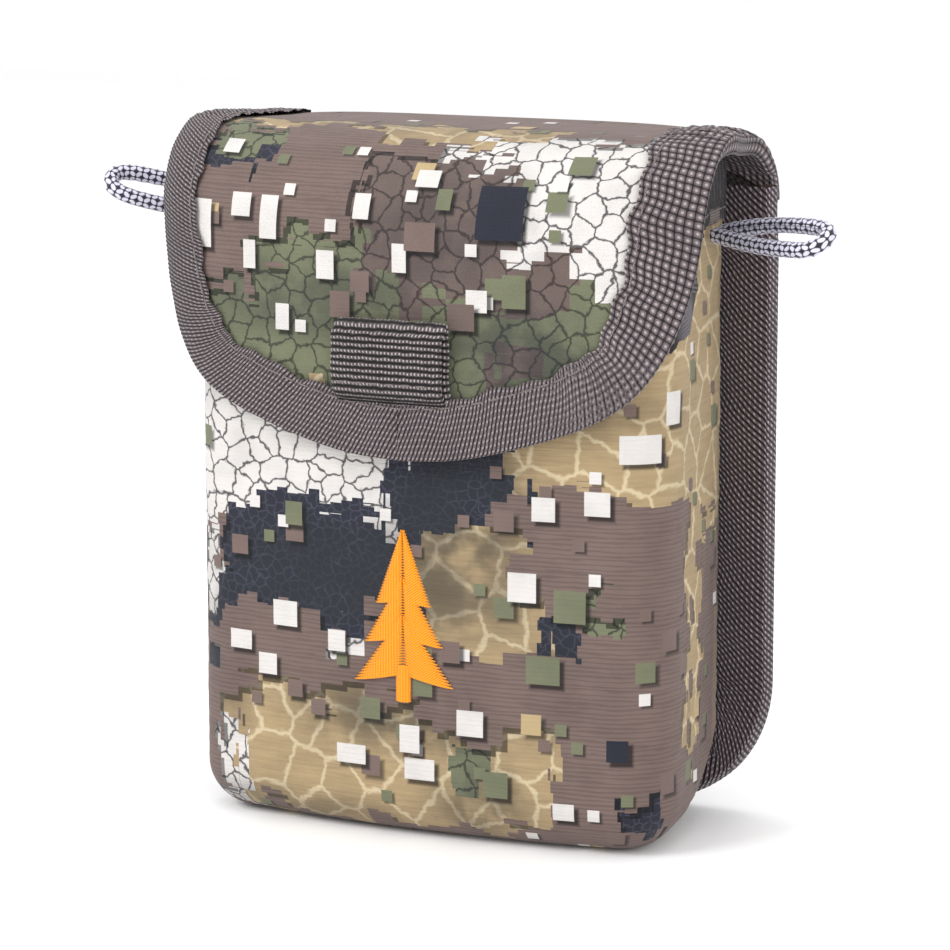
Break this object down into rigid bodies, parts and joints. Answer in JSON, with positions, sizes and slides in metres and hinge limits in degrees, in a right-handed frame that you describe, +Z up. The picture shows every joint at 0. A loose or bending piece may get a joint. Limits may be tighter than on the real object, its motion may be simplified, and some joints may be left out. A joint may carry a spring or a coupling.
{
  "type": "rangefinder pouch",
  "caption": "Soft moulded belt pouch for a laser rangefinder, with a fold-over flap bound in webbing, a pull tab and a cord loop on each side.",
  "frame": {"origin": "centre of the footprint, on the surface that the pouch stands on", "axes": "+Z up, -Y towards the front that carries the flap and the emblem, +X to the front's right as seen by a viewer"},
  "size_m": [0.1473, 0.0611, 0.1302],
  "materials": {
    "camo_fabric": "printed camouflage fabric, fine horizontal rib",
    "foam": "closed-cell EVA foam",
    "lining": "brushed black tricot",
    "magnet": "nickel-plated magnet",
    "tape": "mauve-grey woven binding tape",
    "thread": "bonded polyester thread",
    "webbing": "mauve-grey ribbed webbing",
    "stiffener": "polyethylene sheet",
    "emblem": "orange embroidery thread",
    "cord": "braided grey cord with dark flecks"
  },
  "bodies": {
    "pouch": {"shell_skin": "camo_fabric", "shell_foam": "foam", "shell_lining": "lining", "shell_magnet": "magnet", "rim_binding": "tape", "rim_stitches": "thread", "emblem": "emblem", "back_lining": "lining", "back_foam": "foam", "back_stiffener": "stiffener", "back_skin": "camo_fabric", "back_binding": "tape", "back_stitches": "thread", "belt_loop": "webbing", "belt_stitches": "thread", "loop_tacks": "thread"},
    "flap": {"flap_skin": "camo_fabric", "flap_foam": "foam", "flap_lining": "lining", "flap_magnet": "magnet", "flap_binding": "tape", "flap_stitches": "thread"},
    "tab": {"pull_tab": "webbing", "tab_stitches": "thread"},
    "loop_left": {"cord_loop_left": "cord"},
    "loop_right": {"cord_loop_right": "cord"}
  },
  "joints": [
    {"name": "flap_hinge", "type": "hinge", "parent": "pouch", "child": "flap", "pos_m": [0, 0.027, 0.119], "axis": [-1, 0, 0], "range_deg": [0, 150]},
    {"name": "tab_hinge", "type": "hinge", "parent": "flap", "child": "tab", "pos_m": [-0.0021, -0.0268, 0.0829], "axis": [1, 0, 0], "range_deg": [0, 150]},
    {"name": "loop_left_swing", "type": "hinge", "parent": "pouch", "child": "loop_left", "pos_m": [-0.0473, 0.01075, 0.1109], "axis": [0, 1, 0], "range_deg": [-30, 30], "stiffness_Nm_per_rad": 0.002},
    {"name": "loop_right_swing", "type": "hinge", "parent": "pouch", "child": "loop_right", "pos_m": [0.0473, 0.01075, 0.1109], "axis": [0, -1, 0], "range_deg": [-30, 30], "stiffness_Nm_per_rad": 0.002}
  ]
}
